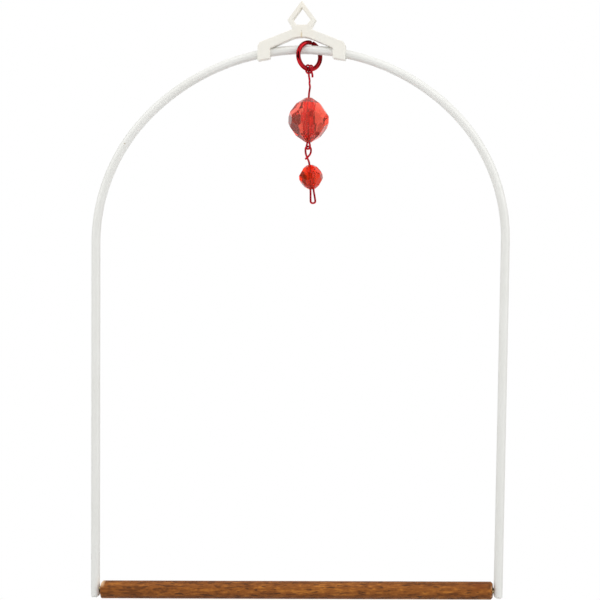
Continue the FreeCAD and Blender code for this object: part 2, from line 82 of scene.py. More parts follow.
def smoothStep(values, low, high):
    # 0 at low, 1 at high, and 3s^2 - 2s^3 between them; low may be the larger one
    share = np.clip((values - low) / (high - low), 0, 1)
    return share * share * (3 - 2 * share)


def placedAt(axes, point):
    # a world matrix from three axes and a point
    place = np.eye(4)
    place[:3, :3] = np.stack(axes, axis=1)
    place[:3, 3] = point
    return Matrix(place.tolist())


# Camera: a long lens in front, a little to the right and below, turned a little about its own axis
cameraSet = {"distance": 3.5, "seenWidth": 0.3338, "sensor": 36.0, "clip": (0.05, 50.0),
             "yaw": 6.5, "rise": -6.5, "roll": 0.63, "target": (0.0004, 0.0, -0.164)}


def makeCamera():
    data = bpy.data.cameras.new("camera")
    data.sensor_width = cameraSet["sensor"]
    data.lens = cameraSet["sensor"] * cameraSet["distance"] / cameraSet["seenWidth"]
    data.clip_start, data.clip_end = cameraSet["clip"]
    yaw, rise, roll = (math.radians(cameraSet[key]) for key in ("yaw", "rise", "roll"))
    back = np.array([math.sin(yaw) * math.cos(rise), -math.cos(yaw) * math.cos(rise), math.sin(rise)])
    level = unit(np.cross(up, back))
    upright = np.cross(back, level)
    right = level * math.cos(roll) + upright * math.sin(roll)
    above = upright * math.cos(roll) - level * math.sin(roll)
    point = np.array(cameraSet["target"]) + back * cameraSet["distance"]
    camera = bpy.data.objects.new("camera", data)
    scene.collection.objects.link(camera)
    camera.matrix_world = placedAt([right, above, back], point)
    scene.camera = camera


makeCamera()
print("camera placed")


# Nodes: a node is made with its settings and its sockets, and a socket takes a value or another socket
def feed(tree, socket, value):
    if isinstance(value, bpy.types.NodeSocket):
        tree.links.new(value, socket)
    else:
        socket.default_value = value


def makeNode(tree, kind, sockets=None, **settings):
    made = tree.nodes.new("ShaderNode" + kind)
    for key, value in settings.items():
        setattr(made, key, value)
    for key, value in (sockets or {}).items():
        feed(tree, made.inputs[key], value)
    return made


def calculate(tree, operation, one, other=0.0):
    return makeNode(tree, "Math", {0: one, 1: other}, operation=operation).outputs[0]


def rescale(tree, value, fromLow, fromHigh, toLow=0.0, toHigh=1.0):
    sockets = {"Value": value, "From Min": fromLow, "From Max": fromHigh, "To Min": toLow, "To Max": toHigh}
    return makeNode(tree, "MapRange", sockets, interpolation_type="SMOOTHSTEP").outputs["Result"]


def blendColour(tree, share, one, other, way="MIX"):
    # a share of the other colour over the first; a colour is three numbers or a socket
    made = makeNode(tree, "Mix", data_type="RGBA", blend_type=way)
    feed(tree, made.inputs[0], share)
    for index, colour in ((6, one), (7, other)):
        linked = isinstance(colour, bpy.types.NodeSocket)
        feed(tree, made.inputs[index], colour if linked else (*colour, 1))
    return made.outputs[2]


def rampColour(tree, value, stops):
    made = makeNode(tree, "ValToRGB", {"Fac": value})
    band = made.color_ramp.elements
    while len(band) < len(stops):
        band.new(0.5)
    for element, (at, colour) in zip(band, stops):
        element.position = at
        element.color = (*colour, 1)
    return made.outputs["Color"]


def cloud(tree, place, scale, stretch=(1, 1, 1), detail=3.0, rough=0.55, warp=0.0):
    # noise on the piece's own coordinates, its cells 1 / (scale * stretch) metres long
    spread = makeNode(tree, "Mapping", {"Vector": place, "Scale": stretch})
    sockets = {"Vector": spread.outputs[0], "Scale": scale, "Detail": detail, "Roughness": rough,
               "Distortion": warp}
    return makeNode(tree, "TexNoise", sockets).outputs["Fac"]


def relief(tree, height, depth, strength=1.0):
    sockets = {"Height": height, "Distance": depth, "Strength": strength}
    return makeNode(tree, "Bump", sockets)


def layerValue(tree, name):
    # the number that addLayer gave to each point
    return makeNode(tree, "Attribute", attribute_name=name).outputs["Fac"]


def startFinish(name, sockets=None):
    # a new material with fixed values on its shader, and the piece's own coordinates
    material = bpy.data.materials.new(name)
    material.use_nodes = True
    tree = material.node_tree
    shader = tree.nodes["Principled BSDF"]
    for key, value in (sockets or {}).items():
        shader.inputs[key].default_value = value
    place = makeNode(tree, "TexCoord").outputs["Object"]
    return material, tree, shader, place


def endFinish(tree, shader, colour, gloss, bump):
    tree.links.new(colour, shader.inputs["Base Color"])
    tree.links.new(gloss, shader.inputs["Roughness"])
    tree.links.new(bump.outputs["Normal"], shader.inputs["Normal"])


# Stage: white all round for the camera and in reflections, plain light on the object, a pale floor below it
stageSet = {"skyLight": 0.52, "sideDim": 0.25, "sideReach": (0.45, 0.8), "patchDim": 0.05,
            "patchReach": (0.06, 0.2), "floorDrop": 0.29, "floorHalf": 4.5,
            "floorColour": (0.74, 0.74, 0.74, 1), "shadowGlow": 0.2, "shadowReach": (0.12, 0.45)}
# Lamps: place, size across and along, brightness seen from the object
lampSet = {
    "leftBox": {"at": (-1.12, -0.55, 0.5), "size": (1.1, 1.1), "shine": 1.9},
    "rightBox": {"at": (1.12, -0.55, 0.5), "size": (1.1, 1.1), "shine": 2.2},
    "topBox": {"at": (0.0, -0.95, 0.9), "size": (1.4, 0.9), "shine": 1.25},
}
# Dark card in front, which only mirrored and refracted rays see
flagSet = {"at": -2.6, "half": 3.6, "colour": (0.02, 0.02, 0.022, 1)}


def seenRay(tree):
    # 1 for rays from the camera and for mirrored and refracted rays
    path = makeNode(tree, "LightPath").outputs
    shiny = calculate(tree, "MAXIMUM", path["Is Glossy Ray"], path["Is Transmission Ray"])
    return calculate(tree, "MAXIMUM", path["Is Camera Ray"], shiny)


def makeSky():
    # plain light for matt surfaces, and white for the camera; mirrored and refracted rays see white with
    # dimmer sides, and refracted ones also a dark patch towards the right
    world = bpy.data.worlds.new("studio")
    world.use_nodes = True
    tree = world.node_tree
    tree.nodes.clear()
    way = makeNode(tree, "SeparateXYZ", {0: makeNode(tree, "TexCoord").outputs["Generated"]}).outputs["X"]
    path = makeNode(tree, "LightPath").outputs
    aside = calculate(tree, "ABSOLUTE", way)
    side = rescale(tree, aside, *stageSet["sideReach"], 1.0, stageSet["sideDim"])
    patch = rescale(tree, way, *stageSet["patchReach"], 1.0, stageSet["patchDim"])
    notRefracted = calculate(tree, "SUBTRACT", 1.0, path["Is Transmission Ray"])
    patch = calculate(tree, "MAXIMUM", patch, notRefracted)
    side = calculate(tree, "MULTIPLY", side, patch)
    side = calculate(tree, "MAXIMUM", side, path["Is Camera Ray"])
    plain = makeNode(tree, "Background", {"Strength": stageSet["skyLight"]})
    white = makeNode(tree, "Background", {"Strength": side})
    for ground in (plain, white):
        ground.inputs["Color"].default_value = (1, 1, 1, 1)
    mixed = makeNode(tree, "MixShader", {0: seenRay(tree), 1: plain.outputs[0], 2: white.outputs[0]})
    tree.links.new(mixed.outputs[0], makeNode(tree, "OutputWorld").inputs["Surface"])
    scene.world = world


def makeFloor():
    # a pale floor that glows white for rays that see it, less so near the middle, where the shadow falls
    material = bpy.data.materials.new("paleFloor")
    material.use_nodes = True
    tree = material.node_tree
    tree.nodes.clear()
    place = makeNode(tree, "TexCoord").outputs["Object"]
    away = makeNode(tree, "VectorMath", {0: place}, operation="LENGTH").outputs["Value"]
    glow = rescale(tree, away, *stageSet["shadowReach"], stageSet["shadowGlow"], 1.0)
    matt = makeNode(tree, "BsdfDiffuse", {"Color": stageSet["floorColour"]})
    light = makeNode(tree, "Emission", {"Strength": calculate(tree, "MULTIPLY", glow, seenRay(tree))})
    both = makeNode(tree, "AddShader", {0: matt.outputs[0], 1: light.outputs[0]})
    tree.links.new(both.outputs[0], makeNode(tree, "OutputMaterial").inputs["Surface"])
    # the glow is only for rays that see it, so it is not sampled as a lamp
    material.cycles.emission_sampling = "NONE"
    half = stageSet["floorHalf"]
    corners = [(-half, -half, 0), (half, -half, 0), (half, half, 0), (-half, half, 0)]
    mesh = bpy.data.meshes.new("floor")
    mesh.from_pydata(corners, [], [(0, 1, 2, 3)])
    mesh.materials.append(material)
    floor = bpy.data.objects.new("floor", mesh)
    floor.location.z = cadBox[0].z - stageSet["floorDrop"]
    scene.collection.objects.link(floor)


def makeFlag():
    material = bpy.data.materials.new("darkCard")
    material.use_nodes = True
    shader = material.node_tree.nodes["Principled BSDF"]
    shader.inputs["Base Color"].default_value = flagSet["colour"]
    shader.inputs["Roughness"].default_value = 1.0
    half, far = flagSet["half"], flagSet["at"]
    corners = [(-half, far, -half), (-half, far, half), (half, far, half), (half, far, -half)]
    mesh = bpy.data.meshes.new("flag")
    mesh.from_pydata(corners, [], [(0, 1, 2, 3)])
    mesh.materials.append(material)
    flag = bpy.data.objects.new("flag", mesh)
    flag.visible_camera = False
    flag.visible_diffuse = False
    flag.visible_shadow = False
    scene.collection.objects.link(flag)


def makeLamp(name, settings):
    data = bpy.data.lights.new(name, "AREA")
    data.shape = "RECTANGLE"
    data.size, data.size_y = settings["size"]
    data.energy = settings["shine"] * math.pi * data.size * data.size_y
    lamp = bpy.data.objects.new(name, data)
    back = unit(np.array(settings["at"]) - np.array(cameraSet["target"]))
    across = unit(np.cross(up, back))
    lamp.matrix_world = placedAt([across, np.cross(back, across), back], settings["at"])
    scene.collection.objects.link(lamp)


makeSky()
makeFloor()
makeFlag()
for lampName, lampSettings in lampSet.items():
    makeLamp(lampName, lampSettings)
print("stage lit")


# Finishes: a noise is given as cloud takes it, and a range is where a change begins and ends in its noise
coatSet = {"colour": (0.83, 0.83, 0.80), "shade": (0.80, 0.80, 0.765), "shadeRange": (0.35, 0.7),
           "speck": (0.60, 0.54, 0.46), "speckRange": (0.78, 0.81), "soiledRange": (0.55, 0.62),
           "gloss": (0.27, 0.36), "glossRange": (0.3, 0.7), "peelDepth": 0.0015 * mm,
           "patches": {"scale": 30, "detail": 3}, "specks": {"scale": 520, "detail": 1},
           "soiled": {"scale": 60, "detail": 1}, "peel": {"scale": 420, "detail": 1}}


def whiteCoat():
    # white dip coating: faint tint changes, very few specks of dirt, a trace of orange peel
    material, tree, shader, place = startFinish("whiteCoat")
    patches = cloud(tree, place, **coatSet["patches"])
    shaded = rescale(tree, patches, *coatSet["shadeRange"])
    tint = blendColour(tree, shaded, coatSet["colour"], coatSet["shade"])
    specks = rescale(tree, cloud(tree, place, **coatSet["specks"]), *coatSet["speckRange"])
    soiled = rescale(tree, cloud(tree, place, **coatSet["soiled"]), *coatSet["soiledRange"])
    colour = blendColour(tree, calculate(tree, "MULTIPLY", specks, soiled), tint, coatSet["speck"])
    gloss = rescale(tree, patches, *coatSet["glossRange"], *coatSet["gloss"])
    peel = relief(tree, cloud(tree, place, **coatSet["peel"]), coatSet["peelDepth"])
    endFinish(tree, shader, colour, gloss, peel)
    return material


hangerSet = {"colour": (0.870, 0.845, 0.772), "grey": (0.855, 0.840, 0.780), "greyRange": (0.35, 0.7),
             "warm": (0.865, 0.826, 0.738), "warmHalf": 10.0 * mm, "warmRange": (0.3, 0.7),
             "warmShare": (0.5, 1.0), "crease": (0.74, 0.63, 0.44), "creaseHalf": 0.75 * mm,
             "creaseTop": (-13.0 * mm, -15.0 * mm), "gloss": (0.42, 0.50), "glossRange": (0.3, 0.7),
             "grainDepth": 0.001 * mm, "edge": 0.45 * mm, "edgeSamples": 6,
             "patches": {"scale": 60, "detail": 2}, "grain": {"scale": 900, "detail": 1},
             "flow": {"scale": 200, "stretch": (1, 1, 4), "detail": 2}}


def hangerPlastic():
    # warm white moulding: beige towards the crease, painted shade along the crease, faint flow marks, a fine
    # matt skin, softened edges
    material, tree, shader, place = startFinish("hangerPlastic")
    parted = makeNode(tree, "SeparateXYZ", {0: place}).outputs
    aside = calculate(tree, "ABSOLUTE", parted["X"])
    patches = cloud(tree, place, **hangerSet["patches"])
    greyed = rescale(tree, patches, *hangerSet["greyRange"])
    tint = blendColour(tree, greyed, hangerSet["colour"], hangerSet["grey"])
    middle = rescale(tree, aside, hangerSet["warmHalf"], 0.0)
    uneven = rescale(tree, patches, *hangerSet["warmRange"], *hangerSet["warmShare"])
    tint = blendColour(tree, calculate(tree, "MULTIPLY", middle, uneven), tint, hangerSet["warm"])
    # painted shade: a tan line down the crease, where its groove lies in shadow
    line = rescale(tree, aside, hangerSet["creaseHalf"], 0.0)
    below = rescale(tree, parted["Z"], *hangerSet["creaseTop"])
    colour = blendColour(tree, calculate(tree, "MULTIPLY", line, below), tint, hangerSet["crease"])
    flow = cloud(tree, place, **hangerSet["flow"])
    gloss = rescale(tree, flow, *hangerSet["glossRange"], *hangerSet["gloss"])
    skin = relief(tree, cloud(tree, place, **hangerSet["grain"]), hangerSet["grainDepth"])
    soft = makeNode(tree, "Bevel", {"Radius": hangerSet["edge"]}, samples=hangerSet["edgeSamples"])
    tree.links.new(soft.outputs["Normal"], skin.inputs["Normal"])
    endFinish(tree, shader, colour, gloss, skin)
    return material


brassSet = {"colour": (0.46, 0.37, 0.20), "dark": (0.05, 0.042, 0.032), "darkRange": (0.42, 0.62),
            "gloss": (0.3, 0.5), "markDepth": 0.01 * mm, "tarnish": {"scale": 420, "detail": 3},
            "marks": {"scale": 900, "stretch": (8, 1, 1), "detail": 2}}


def pinBrass():
    # plain brass with dark tarnish in patches and fine turning marks
    material, tree, shader, place = startFinish("pinBrass", {"Metallic": 1.0})
    tarnish = rescale(tree, cloud(tree, place, **brassSet["tarnish"]), *brassSet["darkRange"])
    colour = blendColour(tree, tarnish, brassSet["colour"], brassSet["dark"])
    gloss = rescale(tree, tarnish, 0.0, 1.0, *brassSet["gloss"])
    marks = relief(tree, cloud(tree, place, **brassSet["marks"]), brassSet["markDepth"])
    endFinish(tree, shader, colour, gloss, marks)
    return material


woodSet = {"dark": (0.155, 0.047, 0.008), "mid": (0.290, 0.091, 0.013), "light": (0.48, 0.170, 0.024),
           "toneStops": (0.42, 0.49, 0.52, 0.60), "fibreShare": 0.8,
           "pore": (0.065, 0.022, 0.006), "poreRange": (0.60, 0.68), "poreShare": 0.75,
           # painted shade, darker towards top and bottom: shares of the radius, and how far the mottles shift
           # them
           "edge": (0.70, 0.68, 0.68), "paintedShadeRange": (0.6, 1.05), "paintedShadeShift": 0.3,
           "stain": (0.20, 0.045, 0.004), "bare": (0.76, 0.51, 0.30), "rubRange": (0.3, 0.6),
           "rubShare": (0.55, 1.0), "gloss": (0.66, 0.50), "glossRange": (0.42, 0.6), "sheen": 0.2,
           "grainDepth": 0.05 * mm, "grainStrength": 0.6,
           "streaks": {"scale": 260, "stretch": (0.05, 1, 1), "detail": 3, "rough": 0.6, "warp": 0.4},
           "mottles": {"scale": 520, "stretch": (0.45, 1, 1), "detail": 2, "rough": 0.6},
           "fibres": {"scale": 1100, "stretch": (0.12, 1, 1), "detail": 2, "rough": 0.6},
           "pores": {"scale": 1000, "stretch": (0.2, 1, 1), "detail": 1}}


def stainedWood(axisZ, radius):
    # brown stain over streaks, mottles and short dark pores that follow the dowel; painted shade darker
    # towards its top and bottom, redder where stain pooled, pale where it is bare
    material, tree, shader, place = startFinish("stainedWood", {"Specular IOR Level": woodSet["sheen"]})
    noises = ("streaks", "mottles", "fibres", "pores")
    streaks, mottles, fibres, pores = (cloud(tree, place, **woodSet[key]) for key in noises)
    fibreShare = woodSet["fibreShare"]
    grain = calculate(tree, "ADD", streaks, mottles)
    grain = calculate(tree, "ADD", grain, calculate(tree, "MULTIPLY", fibres, fibreShare))
    grain = calculate(tree, "MULTIPLY", grain, 1 / (2 + fibreShare))
    tones = [woodSet[key] for key in ("dark", "mid", "mid", "light")]
    colour = rampColour(tree, grain, list(zip(woodSet["toneStops"], tones)))
    pores = rescale(tree, pores, *woodSet["poreRange"])
    pores = calculate(tree, "MULTIPLY", pores, woodSet["poreShare"])
    colour = blendColour(tree, pores, colour, woodSet["pore"])
    # painted shade: the colour darkens towards the dowel's top and bottom, as light falls on a round bar
    above = calculate(tree, "SUBTRACT", makeNode(tree, "SeparateXYZ", {0: place}).outputs["Z"], axisZ)
    shift = calculate(tree, "MULTIPLY", mottles, woodSet["paintedShadeShift"] * radius)
    offAxis = calculate(tree, "ADD", calculate(tree, "ABSOLUTE", above), shift)
    shade = rescale(tree, offAxis, *(share * radius for share in woodSet["paintedShadeRange"]))
    darker = blendColour(tree, 1.0, colour, woodSet["edge"], "MULTIPLY")
    colour = blendColour(tree, shade, colour, darker)
    colour = blendColour(tree, layerValue(tree, "pooledStain"), colour, woodSet["stain"])
    rubbed = rescale(tree, fibres, *woodSet["rubRange"], *woodSet["rubShare"])
    rubbed = calculate(tree, "MULTIPLY", layerValue(tree, "bareWood"), rubbed)
    colour = blendColour(tree, rubbed, colour, woodSet["bare"])
    gloss = rescale(tree, grain, *woodSet["glossRange"], *woodSet["gloss"])
    height = calculate(tree, "SUBTRACT", fibres, pores)
    raised = relief(tree, height, woodSet["grainDepth"], woodSet["grainStrength"])
    endFinish(tree, shader, colour, gloss, raised)
    return material


# Red metal: what the ring and the wires share, then each one's own; patch is its noise's cells per metre
redMetalSet = {"rim": (0.70, 0.05, 0.05), "coat": 0.06, "coatGloss": 0.08, "deepRange": (0.35, 0.65),
               "glossRange": (0.3, 0.7), "scratchFiner": 9, "scratchDepth": 0.001 * mm}
ringRedSet = {"colour": (0.34, 0.010, 0.014), "deep": (0.22, 0.006, 0.010), "metal": 1.0,
              "gloss": (0.12, 0.20), "patch": 160}
wireRedSet = {"colour": (0.52, 0.012, 0.024), "deep": (0.38, 0.008, 0.018), "metal": 0.7,
              "gloss": (0.14, 0.24), "patch": 260}


def redMetal(name, settings):
    # red lacquer over bright metal: deeper and brighter patches, fine scratches
    material, tree, shader, place = startFinish(name, {
        "Metallic": settings["metal"], "Coat Weight": redMetalSet["coat"],
        "Coat Roughness": redMetalSet["coatGloss"], "Specular Tint": (*redMetalSet["rim"], 1)})
    patches = cloud(tree, place, settings["patch"], detail=3)
    deeper = rescale(tree, patches, *redMetalSet["deepRange"])
    colour = blendColour(tree, deeper, settings["colour"], settings["deep"])
    scratches = cloud(tree, place, settings["patch"] * redMetalSet["scratchFiner"], detail=2)
    gloss = rescale(tree, scratches, *redMetalSet["glossRange"], *settings["gloss"])
    endFinish(tree, shader, colour, gloss, relief(tree, scratches, redMetalSet["scratchDepth"]))
    return material


# Clear red: what both beads share, then each one's own; bend is the refractive index, density per metre
clearRedSet = {"bend": 1.35, "glance": (1.0, 0.35, 0.3), "skinRange": (0.3, 0.7), "gloss": (0.0, 0.015),
               "hazeRange": (0.45, 0.75), "rippleDepth": 0.0005 * mm,
               "patches": {"scale": 220, "detail": 3}, "haze": {"scale": 900, "detail": 3},
               "ripple": {"scale": 260, "detail": 1}}
largeBeadSet = {"colour": (0.92, 0.42, 0.32), "density": 80.0, "clear": 0.85,
                "skin": (0.95, 0.26, 0.19), "skinDeep": (0.92, 0.21, 0.155),
                "refractedGlow": (0.97, 0.075, 0.045), "streak": (0.72, 0.015, 0.010)}
smallBeadSet = {"colour": (0.92, 0.30, 0.12), "density": 150.0, "clear": 0.80,
                "skin": (0.95, 0.115, 0.035), "skinDeep": (0.90, 0.070, 0.025),
                "refractedGlow": (0.97, 0.055, 0.020), "streak": (0.75, 0.014, 0.006)}


def clearRed(name, settings):
    # clear plastic that reddens with depth, with a little milky red; painted refraction inside the hollow,
    # bright red with dark streaks; faint haze and moulding marks on the facets
    material, tree, shader, place = startFinish(name, {
        "IOR": clearRedSet["bend"], "Transmission Weight": settings["clear"],
        "Specular Tint": (*clearRedSet["glance"], 1)})
    patches = rescale(tree, cloud(tree, place, **clearRedSet["patches"]), *clearRedSet["skinRange"])
    skin = blendColour(tree, patches, settings["skin"], settings["skinDeep"])
    # painted refraction: bright red with dark streaks inside the hollow, standing in for light and wire seen
    # through the bore
    refractedGlow = blendColour(tree, layerValue(tree, "streak"), settings["refractedGlow"], settings["streak"])
    colour = blendColour(tree, layerValue(tree, "hollowWall"), skin, refractedGlow)
    haze = cloud(tree, place, **clearRedSet["haze"])
    gloss = rescale(tree, haze, *clearRedSet["hazeRange"], *clearRedSet["gloss"])
    ripple = relief(tree, cloud(tree, place, **clearRedSet["ripple"]), clearRedSet["rippleDepth"])
    endFinish(tree, shader, colour, gloss, ripple)
    depth = makeNode(tree, "VolumeAbsorption")
    depth.inputs["Color"].default_value = (*settings["colour"], 1)
    depth.inputs["Density"].default_value = settings["density"]
    tree.links.new(depth.outputs[0], tree.nodes["Material Output"].inputs["Volume"])
    return material


# Meshes from arrays
def gridFaces(rows, columns):
    # four-sided faces of a grid whose columns close on themselves
    row = np.arange(rows - 1)[:, None] * columns
    column = np.arange(columns)[None, :]
    beside = (column + 1) % columns
    corners = (row + column, row + beside, row + columns + beside, row + columns + column)
    return np.stack(corners, axis=-1).reshape(-1, 4)


def closedTube(rings, poles):
    # rings of points joined to a tube, with a fan to a pole at each end
    rows, sides = rings.shape[:2]
    here = np.arange(sides)
    beside = (here + 1) % sides
    top = (rows - 1) * sides
    first = np.stack([np.full(sides, rows * sides), beside, here], axis=1)
    last = np.stack([np.full(sides, rows * sides + 1), top + here, top + beside], axis=1)
    faces = gridFaces(rows, sides).tolist() + first.tolist() + last.tolist()
    return np.concatenate([rings.reshape(-1, 3), np.asarray(poles)]), faces


def carriedNormals(tangents, first):
    # each ring's normal is the one before it, less its share along the new tangent
    normals = [unit(first - tangents[0] * (first @ tangents[0]))]
    for tangent in tangents[1:]:
        kept = normals[-1] - tangent * (normals[-1] @ tangent)
        normals.append(unit(kept))
    return np.array(normals)


def parabolas(fromPoints, corners, toPoints, share):
    # (1 - s)^2 from + 2 s (1 - s) corner + s^2 to, for each corner and each share s of the way
    share = share[None, :, None]
    bent = (1 - share) ** 2 * fromPoints[:, None] + 2 * share * (1 - share) * corners[:, None]
    return (bent + share ** 2 * toPoints[:, None]).reshape(-1, corners.shape[1])


def roundBar(line, radius, settings, tipSteps=6):
    # a circle carried along a line: stations every step, and at both ends quarter rounds of the given
    # rounding, where the radius is r - q + sqrt(q^2 - (q - s)^2) at a distance s from the end
    rounding, sides = settings["endRound"], settings["sides"]
    lengths = np.concatenate([[0], np.cumsum(np.linalg.norm(np.diff(line, axis=0), axis=1))])
    total = lengths[-1]
    tip = rounding * (1 - np.cos(np.linspace(0, math.pi / 2, tipSteps)))
    body = np.linspace(rounding, total - rounding, int(total / settings["step"]))[1:-1]
    along = np.concatenate([tip, body, total - tip[::-1]])
    slopes = unit(np.gradient(line, lengths, axis=0))
    centres = np.stack([np.interp(along, lengths, line[:, axis]) for axis in range(3)], axis=1)
    tangents = unit(np.stack([np.interp(along, lengths, slopes[:, axis]) for axis in range(3)], axis=1))
    short = np.maximum(rounding - np.minimum(along, total - along), 0)
    radii = radius - rounding + np.sqrt(np.maximum(rounding ** 2 - short ** 2, 0))
    first = np.eye(3)[np.argmin(np.abs(tangents[0]))]
    normals = carriedNormals(tangents, first)
    binormals = np.cross(tangents, normals)
    around = np.linspace(0, 2 * math.pi, sides, endpoint=False)[None, :, None]
    spokes = normals[:, None] * np.cos(around) + binormals[:, None] * np.sin(around)
    rings = centres[:, None] + spokes * radii[:, None, None]
    return closedTube(rings, [centres[0], centres[-1]])


def addPiece(name, points, faces, material, body, node, sharp=None):
    # a smooth mesh, its edges kept sharp where they turn more than the given degrees
    mesh = bpy.data.meshes.new(name)
    mesh.from_pydata(np.asarray(points).tolist(), [], faces)
    mesh.materials.append(material)
    mesh.polygons.foreach_set("use_smooth", np.ones(len(mesh.polygons), bool))
    if sharp is not None:
        mesh.set_sharp_from_angle(angle=math.radians(sharp))
    mesh.update()
    piece = bpy.data.objects.new(name, mesh)
    scene.collection.objects.link(piece)
    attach(piece, body)
    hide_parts(node)
    return piece


def addLayer(piece, name, values):
    # a number for each point, which the finish reads by name
    layer = piece.data.attributes.new(name, "FLOAT", "POINT")
    layer.data.foreach_set("value", values.astype(np.float32))


# Arch frame: a rod carried along legs, shoulders and crown
archSet = {"rodDia": 5.0 * mm, "crownRadius": 120.0 * mm, "crownHalfAngle": 45.5,
           "shoulderRadius": 101.7 * mm, "legLean": 0.78, "endRound": 1.1 * mm, "footSlant": 1.5 * mm,
           "footReach": 5.0 * mm, "lineSteps": 200, "step": 1.5 * mm, "sides": 48, "sharp": 50}


def archLine():
    # the right half from the leg's foot up to the crown, then its mirror image down the left leg
    low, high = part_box("arch_frame")
    half, lean = math.radians(archSet["crownHalfAngle"]), math.radians(archSet["legLean"])
    big, small, steps = archSet["crownRadius"], archSet["shoulderRadius"], archSet["lineSteps"]
    crownZ = high.z - archSet["rodDia"] / 2 - big
    shoulder = np.array([(big - small) * math.sin(half), crownZ + (big - small) * math.cos(half)])
    spring = shoulder + small * np.array([math.cos(lean), -math.sin(lean)])
    legLength = (spring[1] - low.z) / math.cos(lean)

    def arc(centre, radius, fromTurn, toTurn):
        turn = np.linspace(fromTurn, toTurn, steps)[1:, None]
        return centre + radius * np.concatenate([np.cos(turn), np.sin(turn)], axis=1)

    down = np.linspace(legLength, 0, steps)[:, None]
    leg = spring - down * np.array([math.sin(lean), math.cos(lean)])
    bend = arc(shoulder, small, -lean, math.pi / 2 - half)
    crown = arc(np.array([0, crownZ]), big, math.pi / 2 - half, math.pi / 2)
    right = np.concatenate([leg, bend, crown])
    flat = np.concatenate([right, right[-2::-1] * (-1, 1)])
    return np.stack([flat[:, 0], np.zeros(len(flat)), flat[:, 1]], axis=1)


def makeArch():
    line, radius = archLine(), archSet["rodDia"] / 2
    points, faces = roundBar(line, radius, archSet)
    # each foot is cut askew: its inner side ends higher, by the square of the distance from its axis
    inward = np.maximum((line[0, 0] - np.abs(points[:, 0])) / radius, 0) ** 2
    above = points[:, 2] - line[0, 2]
    points[:, 2] += archSet["footSlant"] * inward * smoothStep(above, archSet["footReach"], 0.0)
    addPiece("coatedArch", points, faces, whiteCoat(), "frame", "arch_frame",
             sharp=archSet["sharp"])


makeArch()
print("arch made")


# Perch: a half profile turned about the dowel's axis
perchSet = {"dia": 10.0 * mm, "leftChamfer": 0.5 * mm, "rightChamfer": 1.0 * mm, "boreRadius": 1.66 * mm,
            "boreDepth": 12.0 * mm, "edgeRound": 0.25 * mm, "edgeSteps": 4, "step": 1.5 * mm, "sides": 96,
            "sharp": 40, "slant": 1.1 * mm, "slantReach": 9.0 * mm,
            # sanded waves: turns round the dowel, radians per metre along it, start
            "unevenness": 0.035 * mm, "waves": [(3, 31, 0), (5, -57, 1), (2, 113, 0)],
            # bare wood: distances from each end, shares of the bore's radius, shares of the dowel's radius up
            "bareLeft": (1.6 * mm, 0.96 * mm), "bareRight": (0.96 * mm, 0.32 * mm), "bareRim": (1.6, 2.4),
            "bareTop": (0.1, 0.5), "chips": 5, "chipRange": (0.2, 0.9), "chipShare": 0.35,
            # pooled stain: place and size along the dowel and up, the latter as a share of its radius
            "stainAt": (101.5 * mm, 0.35), "stainSize": (4.0 * mm, 0.55), "stainFront": (0.1, 0.6),
            "stainShare": 0.75}


def easedCorners(corners, radius, steps):
    # each inner corner of a profile as a parabola between points one radius before and after it
    inner = corners[1:-1]
    before = inner + unit(corners[:-2] - inner) * radius
    after = inner + unit(corners[2:] - inner) * radius
    bent = parabolas(before, inner, after, np.linspace(0, 1, steps))
    return np.concatenate([corners[:1], bent, corners[-1:]])


